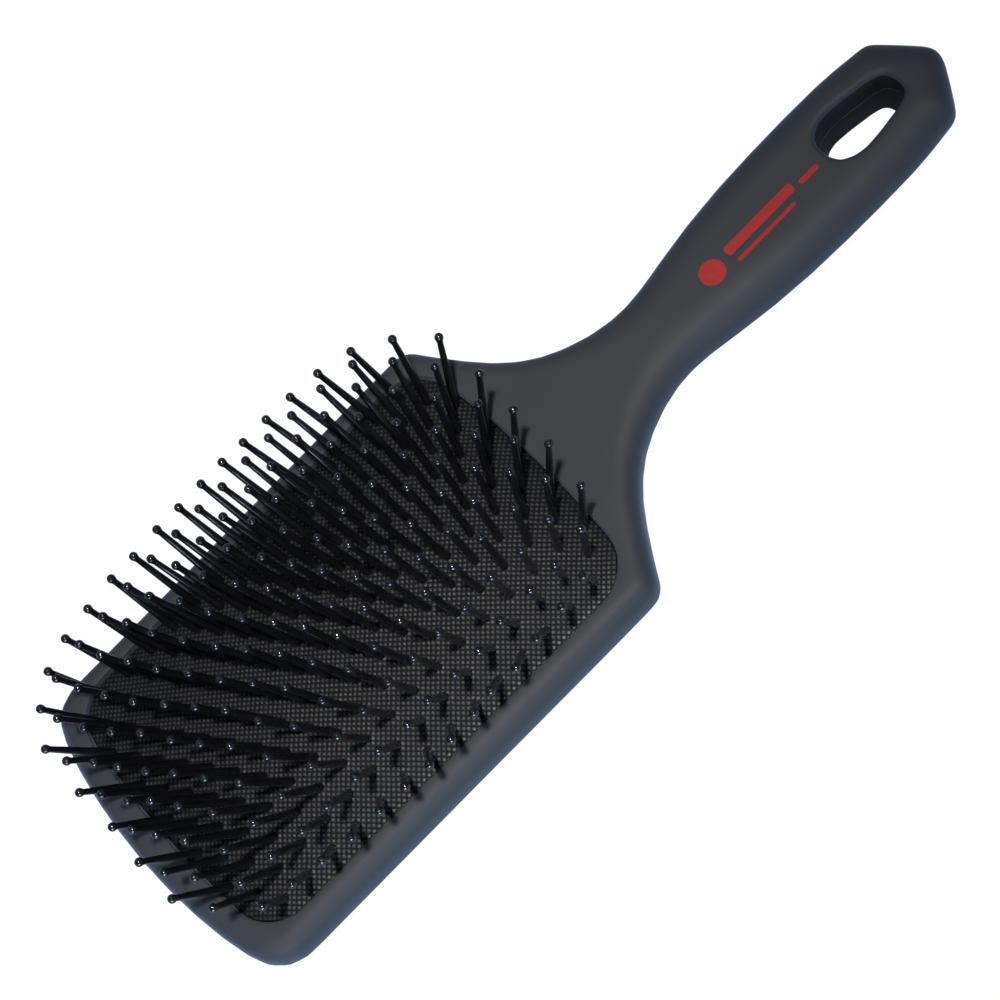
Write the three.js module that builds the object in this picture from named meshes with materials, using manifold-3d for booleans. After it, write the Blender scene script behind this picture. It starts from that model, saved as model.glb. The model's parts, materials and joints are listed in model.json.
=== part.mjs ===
// Paddle hair brush, lying on its back: two shells, a domed rubber cushion,
// a retaining ring and strips of ball-tipped pins.
// Units are millimetres. +Z is up (the way the pins point), +Y runs from the
// head to the end of the handle, +X is to the right.
// Origin: on the flat back of the head, under the middle of the cushion.
import * as THREE from 'three';
import { mergeVertices } from 'three/addons/utils/BufferGeometryUtils.js';
import Module from 'manifold-3d';

const wasm = await Module();
wasm.setup();

const { degToRad, smoothstep } = THREE.MathUtils;

// ---------------------------------------------------------------- dimensions
const SEAM_Z = 6.2;            // parting line between the two shells
const SHELL_GAP = 0.3;         // gap left along the parting line
const RIM_Z = 12.4;            // top of the head frame
const WALL = 2.2;              // shell wall
const LEDGE_Z = RIM_Z - WALL;  // underside of the frame's inner ledge
const FLOOR_Z = WALL;          // inside of the back shell
const HANDLE_SOLID_Y = 145;    // the handle is solid from here to its tip

// Thickening of the front shell along the handle
const SWELL = 0.24;            // share added to the height above the seam
const SWELL_Y = [66, 128];     // where it grows
const SWELL_FADE = 0.45;       // share of it lost again towards the tip
const SWELL_FADE_Y = [150, 184];

// The back face is a little higher under the handle than under the head
const BACK_RAISE = 0.35;
const BACK_RAISE_Y = [60, 78];

// Cushion opening in the front shell
const OPEN_HALF_X = 37.7;
const OPEN_HALF_Y = 58.3;      // at the centre of the end edges
const OPEN_CORNER_R = 12;
const OPEN_BOW = 1.3;          // how far the end edges fall away by the corner
const CORNER_STEPS = 5;
const END_STEPS = 3;           // in half an end edge

const CUSHION_EDGE_Z = 11.1;   // top of the cushion at its edge
const CUSHION_RISE = 5.5;      // height of the dome over its edge
const CUSHION_T = 2.0;         // rubber thickness
const CUSHION_GAP = 0.4;       // gap between cushion and frame
const DOME_POWER_X = 2.2;      // higher powers make a flatter dome with steeper edges
const DOME_POWER_Y = 4;

// Bands that follow the opening: how far each reaches outside and inside it
const LIP = { out: 2.2, in: 2.0, bottom: 8.0, top: 9.7 };        // rubber, under the frame
const RETAINER = { out: 2.2, in: 2.0, bottom: 3.6, top: 7.7 };

const LEAN_X = [0, 4, 8, 13.5, 21, 27, 30.5];  // outward lean by column from the middle, degrees
const LEAN_Y = 17;             // outward lean of the end rows, degrees
const COL_PITCH = 5.5;         // pin columns, across the head
const ROW_PITCH = 3.64;        // pin rows, along the head (alternate columns are staggered)
const COLS = LEAN_X.length - 1; // columns each side of the middle one
const ROWS = 15;               // rows each side of the middle one

const PIN_L = 19.5;            // pin length above the rubber
const PIN_ROOT_R = 1.0;
const PIN_NECK_R = 0.66;
const BALL_R = 1.08;           // ball tip at its widest
const NECK_BELOW_TIP = 1.75;
const BALL_BELOW_TIP = 0.8;
const HOLE_R = 1.46;           // hole in the rubber for a pin, centre to corner
const TRIM_COL = 0.42;         // cells of the outermost columns reach this share of a pitch
const TRIM_ROW = 0.55;         // the same for the outermost rows

const CARRIER_W = 2.2;         // strip that carries a run of pins
const CARRIER_T = 1.2;
const CARRIER_GAP = 0.6;       // from the underside of the rubber
const CARRIER_OVERRUN = 1.05;  // strip length beyond its end pins
const PIN_EMBED = CARRIER_T * 0.15;  // depth of a pin root below the strip's centre line
const END_RUN = 5;             // pins in the toe run and in the heel run of a column

// Right-hand half of the plan outline, from the toe to the tip of the handle: [x, y].
const HALF = [
  [0, -66], [10, -65.7], [19, -64.9], [27, -63.6], [33.5, -61.8], [37.6, -59.7],
  [40.6, -56.7], [42.4, -52.6], [43, -47], [43, 0], [43, 51.8], [42.7, 54.4],
  [41.4, 56.3], [36, 59.9], [30, 63.9], [24.5, 68.1], [20.4, 72.1], [17.2, 76.3],
  [14.6, 81.2], [12.5, 87], [11.3, 92.6], [11.0, 97.2], [11.4, 102.4], [12.7, 110.5],
  [14.1, 120], [15.1, 131], [15.45, 142], [15.2, 152.5], [14.5, 163], [13.5, 171],
  [12.7, 175], [11.3, 177.1], [6.6, 180.8], [2.6, 183.7], [0, 184.4],
];

// Shell sections, bottom to top: [z, inset from the plan outline].
const FRONT_OUTSIDE = [[SEAM_Z + SHELL_GAP / 2, 0], [9.4, 0.5], [11.4, 1.9], [RIM_Z, 4.2]];
const FRONT_HOLLOW = [[5.2, WALL], [9.3, WALL + 0.3], [LEDGE_Z, WALL + 1.2]];
const BACK_OUTSIDE = [[0, 5.6], [0.7, 3.4], [2.8, 0.9], [SEAM_Z - SHELL_GAP / 2, 0]];
const BACK_HOLLOW = [[FLOOR_Z, WALL + 1.6], [3.2, WALL + 0.3], [8, WALL]];

// Hanging hole: its ends, and its right side as [x, share of the length].
const HANG_Y = [151.5, 173.5];
const HANG_SIDE = [[2.6, 0], [4.7, 0.1], [5.7, 0.28], [5.4, 0.55], [4.3, 0.82], [2.7, 0.96], [1.2, 1]];

// Corner directions of the four-sided pins, holes and cushion cells.
const DIAMOND = [[1, 0], [0, 1], [-1, 0], [0, -1]];

const SHELL_ROUGHNESS = 0.55;
const FINISH = {
  frontShell: { color: 0x2b2d31, roughness: SHELL_ROUGHNESS },
  backShell: { color: 0x292b2f, roughness: SHELL_ROUGHNESS },
  cushion: { color: 0x1d1d1f, roughness: 0.7 },
  retainer: { color: 0x232427, roughness: 0.6 },
  pins: { color: 0x0c0c0e, roughness: 0.3 },
};

// ---------------------------------------------------------- solids and meshes
function toSolid(geometry) {
  geometry.deleteAttribute('normal');
  geometry.deleteAttribute('uv');
  const merged = mergeVertices(geometry, 1e-4);
  return new wasm.Manifold(new wasm.Mesh({
    numProp: 3,
    vertProperties: new Float32Array(merged.attributes.position.array),
    triVerts: new Uint32Array(merged.index.array),
  }));
}

function solidFromFaces(points, faces) {
  const geometry = new THREE.BufferGeometry();
  geometry.setAttribute('position', new THREE.Float32BufferAttribute(points.flat(), 3));
  geometry.setIndex(faces.flat());
  return toSolid(geometry);
}

function toGeometry(manifold) {
  const mesh = manifold.getMesh();
  const geometry = new THREE.BufferGeometry();
  const positions = new Float32Array(mesh.vertProperties);
  geometry.setAttribute('position', new THREE.BufferAttribute(positions, 3));
  geometry.setIndex(new THREE.BufferAttribute(new Uint32Array(mesh.triVerts), 1));
  geometry.computeVertexNormals();
  return geometry;
}

// Two triangles, split along the diagonal from a to c.
const quad = (a, b, c, d) => [[a, b, c], [a, c, d]];

const toVectors = (points) => points.map(([x, y]) => new THREE.Vector2(x, y));

function prism(points, bottom, top, holes = []) {
  const shape = new THREE.Shape(toVectors(points));
  for (const hole of holes) shape.holes.push(new THREE.Path(toVectors(hole)));
  const geometry = new THREE.ExtrudeGeometry(shape, {
    depth: top - bottom,
    bevelEnabled: false,
    curveSegments: 1,
  });
  geometry.translate(0, 0, bottom);
  return toSolid(geometry);
}

// The half outline moved inwards, square to its own edges.
function insetHalf(inset) {
  return HALF.map(([x, y], i) => {
    if (x === 0) return [0, y + (i === 0 ? inset : -inset)];
    const [beforeX, beforeY] = HALF[i - 1];
    const [afterX, afterY] = HALF[i + 1];
    const alongX = afterX - beforeX;
    const alongY = afterY - beforeY;
    const length = Math.hypot(alongX, alongY);
    // never quite reaches the centre line, so both halves stay apart
    return [Math.max(0.05, x - (inset * alongY) / length), y + (inset * alongX) / length];
  });
}

// Solid through the mirrored outline at each [z, inset] level; lift(z, y) gives the final height.
function loft(levels, lift) {
  const count = HALF.length;
  const ring = 2 * count - 2;
  const points = [];
  const faces = [];
  for (const [z, inset] of levels) {
    const right = insetHalf(inset).map(([x, y]) => [x, y, lift(z, y)]);
    const left = right.slice(1, -1).reverse().map(([x, y, height]) => [-x, y, height]);
    points.push(...right, ...left);
  }
  for (let level = 0; level + 1 < levels.length; level++) {
    for (let i = 0; i < ring; i++) {
      const a = level * ring + i;
      const b = level * ring + (i + 1) % ring;
      faces.push(...quad(a, b, b + ring, a + ring));
    }
  }
  // Flat cap facing up, joining the right side to the left
  const cap = (start) => {
    const right = (i) => start + i;
    const left = (i) => start + ring - i;
    const triangles = [[right(0), right(1), left(1)]];
    for (let i = 1; i < count - 2; i++) {
      triangles.push(...quad(right(i), right(i + 1), left(i + 1), left(i)));
    }
    triangles.push([right(count - 2), right(count - 1), left(count - 2)]);
    return triangles;
  };
  faces.push(...cap(0).map(([a, b, c]) => [a, c, b]));
  faces.push(...cap((levels.length - 1) * ring));
  return solidFromFaces(points, faces);
}

// Plan outline of the cushion opening, grown on all sides.
function openingPoints(grow) {
  const radius = OPEN_CORNER_R + grow;
  const halfY = OPEN_HALF_Y + grow;
  const centreX = OPEN_HALF_X + grow - radius;
  const centreY = halfY - OPEN_BOW - radius;
  const quarter = [];                        // +X side up to the middle of the +Y end
  for (let i = 0; i <= CORNER_STEPS; i++) {
    const angle = (Math.PI / 2) * (i / CORNER_STEPS);
    quarter.push([centreX + radius * Math.cos(angle), centreY + radius * Math.sin(angle)]);
  }
  for (let i = 1; i <= END_STEPS; i++) {
    const x = centreX * (1 - i / END_STEPS);
    quarter.push([x, halfY - OPEN_BOW * (x / centreX) ** 2]);
  }
  const mirrored = quarter.slice(0, -1).map(([x, y]) => [-x, y]).reverse();
  const upper = [...quarter, ...mirrored];
  return [...upper, ...upper.map(([x, y]) => [-x, -y])];
}

function openingBand(band) {
  return prism(openingPoints(band.out), band.bottom, band.top, [openingPoints(-band.in)]);
}

// ------------------------------------------------------------------- shells
function frontLift(z, y) {
  const fade = 1 - SWELL_FADE * smoothstep(y, ...SWELL_FADE_Y);
  const swell = 1 + SWELL * smoothstep(y, ...SWELL_Y) * fade;
  return SEAM_Z + (z - SEAM_Z) * swell;
}

function backLift(z, y) {
  return z + BACK_RAISE * smoothstep(y, ...BACK_RAISE_Y) * (1 - smoothstep(z, 0, SEAM_Z));
}

// Cuts a shell's hollow off where the handle becomes solid.
function endAtSolidHandle(hollow) {
  const length = 300;
  const box = new THREE.BoxGeometry(120, length, 60);
  box.translate(0, HANDLE_SOLID_Y - length / 2, 0);
  return hollow.intersect(toSolid(box));
}

function hangingHole(bottom, top) {
  const [start, end] = HANG_Y;
  const right = HANG_SIDE.map(([x, share]) => [x, start + (end - start) * share]);
  const left = right.map(([x, y]) => [-x, y]).reverse();
  return prism([...right, ...left], bottom, top);
}

function frontShell() {
  return toGeometry(loft(FRONT_OUTSIDE, frontLift)
    .subtract(endAtSolidHandle(loft(FRONT_HOLLOW, frontLift)))
    .subtract(prism(openingPoints(0), 4, 20))
    .subtract(hangingHole(0, 30)));
}

function backShell() {
  return toGeometry(loft(BACK_OUTSIDE, backLift)
    .subtract(endAtSolidHandle(loft(BACK_HOLLOW, (z) => z)))
    .subtract(hangingHole(-5, 20)));
}

// ---------------------------------------------------------------- pin layout
// Height of the top of the rubber.
function domeZ(x, y) {
  const u = Math.min(1, Math.abs(x) / (OPEN_HALF_X - CUSHION_GAP));
  const v = Math.min(1, Math.abs(y) / (OPEN_HALF_Y - CUSHION_GAP));
  return CUSHION_EDGE_Z + CUSHION_RISE * (1 - u ** DOME_POWER_X) * (1 - v ** DOME_POWER_Y);
}

// Rows that hold a pin in a column: every other one, without the corners of the field.
function pinRows(col) {
  const rows = [];
  for (let row = -ROWS; row <= ROWS; row++) {
    const isCorner = Math.abs(col) === COLS && Math.abs(row) === ROWS;
    if ((Math.abs(col) + Math.abs(row)) % 2 === 1 && !isCorner) rows.push(row);
  }
  return rows;
}

// Where a pin leaves the rubber, and its slope per millimetre of height.
function pinAt(col, row) {
  const x = col * COL_PITCH;
  const y = row * ROW_PITCH;
  const leanX = degToRad(Math.sign(col) * LEAN_X[Math.abs(col)]);
  const leanY = degToRad(LEAN_Y * (row / ROWS));
  return {
    top: new THREE.Vector3(x, y, domeZ(x, y)),
    slope: new THREE.Vector3(Math.tan(leanX), Math.tan(leanY), 1),
  };
}

// ------------------------------------------------------------------ cushion
// Domed plate: one diamond cell with a hole for each pin, then a border out to the edge.
function cushionPlate() {
  const points = [];
  const faces = [];
  // Each vertex is a pair: index is on the top face, index + 1 on the underside.
  const addPair = (x, y, slope = { x: 0, y: 0 }) => {
    const z = domeZ(x, y);
    const under = [x - slope.x * CUSHION_T, y - slope.y * CUSHION_T, z - CUSHION_T];
    points.push([x, y, z], under);
    return points.length - 2;
  };
  const addToBothFaces = (a, b, c) => faces.push([a, b, c], [a + 1, c + 1, b + 1]);

  // Neighbouring cells share their corners.
  const corners = new Map();
  const cornerAt = (col, row) => {
    const key = `${col},${row}`;
    if (!corners.has(key)) corners.set(key, addPair(col * COL_PITCH, row * ROW_PITCH));
    return corners.get(key);
  };

  const edges = new Map();
  const addCell = (col, row) => {
    const { top, slope } = pinAt(col, row);
    // the outermost cells are trimmed so that they stay inside the edge
    const outer = DIAMOND.map(([dx, dy]) => cornerAt(
      Math.abs(col + dx) > COLS ? col + dx * TRIM_COL : col + dx,
      Math.abs(row + dy) > ROWS ? row + dy * TRIM_ROW : row + dy,
    ));
    const hole = DIAMOND.map(([dx, dy]) => addPair(top.x + dx * HOLE_R, top.y + dy * HOLE_R, slope));
    for (let i = 0; i < 4; i++) {
      const j = (i + 1) % 4;
      addToBothFaces(outer[i], outer[j], hole[j]);
      addToBothFaces(outer[i], hole[j], hole[i]);
      faces.push(...quad(hole[i], hole[j], hole[j] + 1, hole[i] + 1));
      edges.set(`${outer[i]}>${outer[j]}`, [outer[i], outer[j]]);
    }
  };
  for (let col = -COLS; col <= COLS; col++) {
    for (const row of pinRows(col)) addCell(col, row);
  }

  // Zig-zag boundary of the pin field: the edges that only one cell uses
  const next = new Map();
  for (const [a, b] of edges.values()) {
    if (!edges.has(`${b}>${a}`)) next.set(a, b);
  }
  const start = next.keys().next().value;
  const boundary = [];
  let vertex = start;
  do {
    boundary.push(vertex);
    vertex = next.get(vertex);
  } while (vertex !== start);
  boundary.reverse();

  // Border between the boundary and the cushion's edge
  const edge = openingPoints(-CUSHION_GAP);
  const rim = edge.map(([x, y]) => addPair(x, y));
  const ids = [...rim, ...boundary];
  const inside = toVectors(boundary.map((id) => points[id]));
  for (const triangle of THREE.ShapeUtils.triangulateShape(toVectors(edge), [inside])) {
    const [a, b, c] = triangle.map((i) => ids[i]);
    const [[ax, ay], [bx, by], [cx, cy]] = [points[a], points[b], points[c]];
    const isAnticlockwise = (bx - ax) * (cy - ay) - (by - ay) * (cx - ax) > 0;
    if (isAnticlockwise) addToBothFaces(a, b, c);
    else addToBothFaces(a, c, b);
  }
  rim.forEach((a, i) => {
    const b = rim[(i + 1) % rim.length];
    faces.push(...quad(a, a + 1, b + 1, b));
  });
  return solidFromFaces(points, faces);
}

// --------------------------------------------------------------------- pins
// Centre line of a carrier strip: straight, under the rubber, from end pin to end pin.
function stripLine(col, rows) {
  const depth = CUSHION_T + CARRIER_GAP + CARRIER_T / 2;
  const under = (row) => {
    const { top, slope } = pinAt(col, row);
    return top.addScaledVector(slope, -depth);
  };
  const start = under(rows[0]);
  const end = under(rows[rows.length - 1]);
  const along = end.clone().sub(start).normalize();
  start.addScaledVector(along, -CARRIER_OVERRUN);
  end.addScaledVector(along, CARRIER_OVERRUN);
  return { start, end, rise: along.z / along.y };
}

function carrierBar({ start, end }) {
  const section = [[1, -1], [1, 1], [-1, 1], [-1, -1]];
  const points = [start, end].flatMap((centre) => section.map(([dx, dz]) => [
    centre.x + dx * CARRIER_W / 2, centre.y, centre.z + dz * CARRIER_T / 2,
  ]));
  const faces = [...quad(0, 1, 2, 3), ...quad(4, 7, 6, 5)];
  for (let i = 0; i < 4; i++) {
    const j = (i + 1) % 4;
    faces.push(...quad(i, i + 4, j + 4, j));
  }
  return solidFromFaces(points, faces);
}

// Four-sided pin from its carrier strip to a pointed ball tip.
function pin(col, row, { start, rise }) {
  const { top, slope } = pinAt(col, row);
  const direction = slope.clone().normalize();
  const along = (distance) => top.clone().addScaledVector(direction, distance);
  // drop, measured in z, to where the leaning pin meets the strip's centre line
  const drop = (top.z - (start.z + rise * (top.y - start.y))) / (1 - rise * slope.y);
  const root = top.clone().addScaledVector(slope, -(drop + PIN_EMBED));
  const rings = [
    [root, PIN_ROOT_R],
    [along(PIN_L - NECK_BELOW_TIP), PIN_NECK_R],
    [along(PIN_L - BALL_BELOW_TIP), BALL_R],
  ];
  const points = rings.flatMap(([centre, radius]) => DIAMOND.map(([dx, dy]) => [
    centre.x + dx * radius, centre.y + dy * radius, centre.z,
  ]));
  points.push(along(PIN_L).toArray());
  const faces = quad(0, 3, 2, 1);
  for (let i = 0; i < 4; i++) {
    const j = (i + 1) % 4;
    faces.push(...quad(i, j, j + 4, i + 4));
    faces.push(...quad(i + 4, j + 4, j + 8, i + 8));
    faces.push([i + 8, j + 8, 12]);
  }
  return solidFromFaces(points, faces);
}

function pinStrip(col, rows) {
  const line = stripLine(col, rows);
  let strip = carrierBar(line);
  for (const row of rows) strip = strip.add(pin(col, row, line));
  return toGeometry(strip);
}

// ----------------------------------------------------------------- assembly
const group = new THREE.Group();

function addPart(name, geometry, finish) {
  const mesh = new THREE.Mesh(geometry, new THREE.MeshStandardMaterial(finish));
  mesh.name = name;
  group.add(mesh);
}

addPart('front_shell', frontShell(), FINISH.frontShell);
addPart('back_shell', backShell(), FINISH.backShell);
addPart('cushion', toGeometry(cushionPlate().add(openingBand(LIP))), FINISH.cushion);
addPart('cushion_retainer', toGeometry(openingBand(RETAINER)), FINISH.retainer);

// Each column of pins is made in three runs, so the runs can follow the dome as it is pressed.
for (let col = -COLS; col <= COLS; col++) {
  const rows = pinRows(col);
  const runs = {
    toe: rows.slice(0, END_RUN),
    mid: rows.slice(END_RUN, -END_RUN),
    heel: rows.slice(-END_RUN),
  };
  const number = String(col + COLS + 1).padStart(2, '0');
  for (const [run, runRows] of Object.entries(runs)) {
    addPart(`pin_strip_${number}_${run}`, pinStrip(col, runRows), FINISH.pins);
  }
}

export default group;
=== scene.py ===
"""A cushion hairbrush lying on its back on a pale floor.

Lengths are in millimetres until a mesh is made. X runs across the brush, Y along it with the
handle towards +Y, and Z up from the floor. The front half of the shell, with the cushion and
its pins, faces up; the back half lies under the seam at SEAM_Z.
"""
import bpy
import json
import math
import numpy as np
from mathutils import Matrix, Vector
from mathutils.geometry import delaunay_2d_cdt


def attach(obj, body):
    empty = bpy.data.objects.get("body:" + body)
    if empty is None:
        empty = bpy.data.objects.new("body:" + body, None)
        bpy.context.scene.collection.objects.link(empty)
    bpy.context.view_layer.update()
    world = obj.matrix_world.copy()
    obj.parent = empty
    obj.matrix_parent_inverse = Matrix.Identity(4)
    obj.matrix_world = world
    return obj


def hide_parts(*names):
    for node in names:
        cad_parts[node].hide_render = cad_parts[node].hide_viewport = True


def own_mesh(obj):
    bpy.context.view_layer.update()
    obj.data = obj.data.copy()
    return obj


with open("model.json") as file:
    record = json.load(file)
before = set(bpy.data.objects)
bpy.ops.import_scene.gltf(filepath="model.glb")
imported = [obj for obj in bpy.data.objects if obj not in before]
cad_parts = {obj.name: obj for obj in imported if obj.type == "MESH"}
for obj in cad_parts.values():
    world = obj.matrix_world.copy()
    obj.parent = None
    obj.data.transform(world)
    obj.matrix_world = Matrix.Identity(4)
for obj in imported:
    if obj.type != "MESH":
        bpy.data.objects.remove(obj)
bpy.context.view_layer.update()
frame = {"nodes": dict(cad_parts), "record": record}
MM = 0.001
rng = np.random.default_rng(20260)

# ---------------------------------------------------------------- shell dimensions
SEAM_Z, RIM_Z = 6.2, 12.4
FRONT_HEIGHT = RIM_Z - SEAM_Z
WALL, FLOOR_Z = 2.2, 2.2            # front wall thickness, inner floor of the back half
HANDLE_SWELL = .24                  # extra share of the front height on the handle
SWELL_RISE_Y, SWELL_FALL_Y = (66, 128), (150, 184)
NECK_Y = (62, 104)                  # the section softens over this stretch
SOLID_Y = (138, 145)                # the shell turns solid here, around the hanging hole
RIM_SOLID = (2.1, 2.7)              # the solid rim ends between these distances from the outline
SEAM_GAP, GROOVE, GROOVE_WIDTH = .03, .13, .55
MIN_HALF = .2                       # each half keeps this height at the seam

# distances in from the outline: rings of the outer skirt, then rings of loose points
SKIRT_STEPS = [0, .03, .1, .25, .5, .9, 1.4, 2.0]
INNER_STEPS = [2.7, 3.5, 4.4, 5.4, 6.6, 7.9, 9.3]

# ---------------------------------------------------------------- hanging hole
HANG_Y = (152.0, 175.2)
# right side of the hole: (half width, share of the hole's length)
HANG_SIDE = [(1.6, 0), (4.4, .05), (6.0, .17), (6.5, .30), (6.1, .5), (5.0, .8), (4.1, .93),
             (2.6, .985), (1.0, 1)]
HANG_ROUND_STEPS = [0, .06, .16, .32, .55, .85, 1.25]       # outwards from the front edge
HANG_BACK_SHARES = [0, .05, .13, .26, .45, .7, 1.0]         # narrow back edge to wide loop
HANG_BACK_ROUND, HANG_BACK_SPREAD = .8, .3

# ---------------------------------------------------------------- cushion
OPEN_HX, OPEN_HY = 37.7, 58.3       # half sizes of the opening in the front
OPEN_R, OPEN_BOW = 12.0, 1.3        # corner radius, bow of the two end edges
OPEN_ROUND_STEPS = [0, .03, .08, .16, .27, .42]             # outwards from the opening edge
EDGE_Z, RISE, RUBBER = 11.1, 6.0, 1.9                       # edge height, crown, thickness
DOT, DOT_HEIGHT = 1.08, .27
CELL = DOT / 3                      # each raised dot covers three mesh cells with its channel
CELLS_HALF = int(104 / CELL)
# edge of the rubber: (offset outwards, height change, 1 where it still follows the dome)
DOME_EDGE = [(.2, -.02, 1), (.34, -.09, 1), (.40, -.22, 1), (.42, -.55, 0), (.42, -RUBBER, 0)]
# lip under the cushion edge: (offset from the opening edge, z)
LIP_SECTION = [(-1.6, 8.1), (-1.6, 9.5), (-1.4, 9.7), (1.9, 9.7),
               (2.1, 9.5), (2.1, 8.2), (1.9, 8.0), (-1.4, 8.0)]

# ---------------------------------------------------------------- pins
COL_PITCH, ROW_PITCH = 5.5, 3.64
COLS, ROWS = 6, 15                  # columns and rows on each side of the middle
PIN_L, BALL_R = 21.2, 1.05
PIN_FOOT_R, PIN_NECK_R = 1.06, .7
PIN_ROOT = 3.0                      # length below the cushion surface
SIDES, BALL_RINGS = 14, 7
JITTER, JITTER_LIMIT = .9, 1.8      # random lean in degrees, limit in draws
END_PINS = 5                        # pins of a column in each end strip
BAR_DEPTH, BAR_END_Y = 3.1, 52.2    # bar that joins a strip of pins
BAR_W, BAR_T, BAR_CHAMFER = 2.2, 1.2, .3
# lean of the pins in degrees, as a sum of c * (column / COLS)^a * (row / ROWS)^b:
# (a, b, c sideways, c along the brush)
FAN = [
    (0, 0, -7.7, -8.3), (0, 1, -2.4, 10.7), (0, 2, .8, -9.7), (0, 3, -.3, 24.2),
    (0, 4, 8.7, 17.7), (0, 5, .8, -13.8), (1, 0, 18.1, 3.7), (1, 1, 7.5, -1.8),
    (1, 2, .7, -3.1), (1, 3, -1.2, -2.7), (1, 4, -18.1, -3.5), (2, 0, -17.1, -1.8),
    (2, 1, -.5, 5.1), (2, 2, -2.5, -5.6), (2, 3, 1.6, 5.4), (3, 0, 50.0, -4.5),
    (3, 1, -5.0, 2.0), (3, 2, -8.1, 4.4), (4, 0, 20.9, 6.7), (4, 1, -2.1, -28.1),
    (5, 0, -35.5, 2.4)]

# ---------------------------------------------------------------- plan outline
# right half of the outline from head end to handle end: (x, y)
HALF = np.array([
    [0, -66], [10, -65.7], [19, -64.9], [27, -63.7], [34, -62.1], [38.5, -60.3],
    [41.4, -57.4], [42.9, -53.4], [43.1, -48], [43, 0], [43, 51.8], [42.8, 54.6],
    [41.4, 56.6], [36, 59.9], [30, 63.9], [24.5, 68.1], [20.4, 72.1], [17.2, 76.3],
    [14.6, 81.2], [12.5, 87], [11.3, 92.6], [11.0, 97.2], [11.4, 102.4], [12.7, 110.5],
    [14.1, 120], [15.1, 131], [15.5, 142], [15.6, 152.5], [15.5, 163], [15.1, 169],
    [14.5, 174], [14.1, 177.3], [13.4, 179.0], [11.6, 180.5], [7, 183.8], [2.8, 186.6],
    [1.2, 187.3], [0, 187.5]], float)
# fine correction of the outline: (x, y of a point near it, offset outwards)
TRIM = np.array([
    (0, -66, .4), (19, -64.9, .3), (33.5, -61.8, .2), (40.6, -56.7, .2), (43, -47, .1),
    (43, 0, .4), (43, 45, .7), (41.8, 56, .6), (33, 62, .4), (24.5, 68.1, .1),
    (17.2, 76.3, -.1), (12.5, 87, -.3), (11, 97, -.3), (12.7, 110, -.2), (15, 131, -.1),
    (15.6, 152, 0), (14.5, 174, 0), (7, 183.8, 0), (0, 187.5, 0)], float)

# printed marks on the handle: (name, centre x, centre y, width, length, corner radius)
MARKS = [("handle_mark_dot", 1.6, 115.2, 6.4, 6.4, 3.15),
         ("handle_mark_bar_wide", .7, 131.0, 2.6, 21.0, .7),
         ("handle_mark_bar_narrow", 4.2, 130.0, 1.0, 18.0, .4),
         ("handle_mark_bar_short", 1.6, 145.9, 1.5, 5.6, .5)]
MARK_LIFT, MARK_EDGE_DROP, MARK_DEPTH = .035, .012, .12


# ---------------------------------------------------------------- plan curves
def smoothstep(start, end, value):
    t = np.clip((np.asarray(value, float) - start) / (end - start), 0, 1)
    return t * t * (3 - 2 * t)


def path_lengths(points):
    return np.r_[0, np.cumsum(np.hypot(*np.diff(points, axis=0).T))]


def at_lengths(wanted, lengths, points):
    return np.c_[np.interp(wanted, lengths, points[:, 0]),
                 np.interp(wanted, lengths, points[:, 1])]


def resample(loop, step=None, n=None):
    """Even points round a closed loop, by spacing or by number."""
    closed = np.vstack([loop, loop[:1]])
    lengths = path_lengths(closed)
    n = n or int(round(lengths[-1] / step))
    return at_lengths(np.arange(n) * lengths[-1] / n, lengths, closed)


def smooth_loop(loop, sigma):
    """Gaussian smoothing round a closed loop; sigma is in points."""
    n = len(loop)
    i = np.arange(n)
    kernel = np.exp(-.5 * (np.minimum(i, n - i) / sigma) ** 2)
    kernel = np.fft.fft(kernel / kernel.sum())
    return np.array([np.real(np.fft.ifft(np.fft.fft(loop[:, c]) * kernel)) for c in (0, 1)]).T


def normals(loop):
    """Outward unit normals of a closed loop, whichever way it runs."""
    x, y = loop.T
    tangent = np.roll(loop, -1, 0) - np.roll(loop, 1, 0)
    tangent /= np.hypot(*tangent.T)[:, None]
    normal = np.c_[tangent[:, 1], -tangent[:, 0]]
    area = np.sum(x * np.roll(y, -1) - np.roll(x, -1) * y)
    return normal if area > 0 else -normal


def offset_rings(loop, offsets):
    outward = normals(loop)
    return [loop + outward * offset for offset in offsets]


def outline_loop():
    loop = np.vstack([HALF, HALF[-2:0:-1] * [-1, 1]])
    smooth = smooth_loop(resample(loop, .25), 2.8)
    lengths = path_lengths(HALF)
    stations = np.linspace(0, lengths[-1], 3000)
    half = at_lengths(stations, lengths, HALF)

    def station_of(points):
        return np.array([stations[np.argmin(((half - p) ** 2).sum(1))] for p in points])

    mirrored = np.c_[np.abs(smooth[:, 0]), smooth[:, 1]]
    trim = np.interp(station_of(mirrored), station_of(TRIM[:, :2]), TRIM[:, 2])
    trim = smooth_loop(np.c_[trim, trim], 16)[:, 0]
    return smooth + normals(smooth) * trim[:, None]


def opening_loop(offset):
    """Edge of the cushion opening, grown by an offset."""
    radius, half_x, half_y = OPEN_R + offset, OPEN_HX + offset, OPEN_HY + offset
    centre_x = half_x - radius
    centre_y = half_y - OPEN_BOW - radius
    turn = np.linspace(0, np.pi / 2, 60)
    corner = np.c_[centre_x + radius * np.cos(turn), centre_y + radius * np.sin(turn)]
    x = np.linspace(centre_x, 0, 60)[1:]
    quarter = np.vstack([corner, np.c_[x, half_y - OPEN_BOW * (x / centre_x) ** 2]])
    upper = np.vstack([quarter, (quarter[:-1] * [-1, 1])[::-1]])
    return smooth_loop(resample(np.vstack([upper, -upper]), .25), 3)


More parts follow.
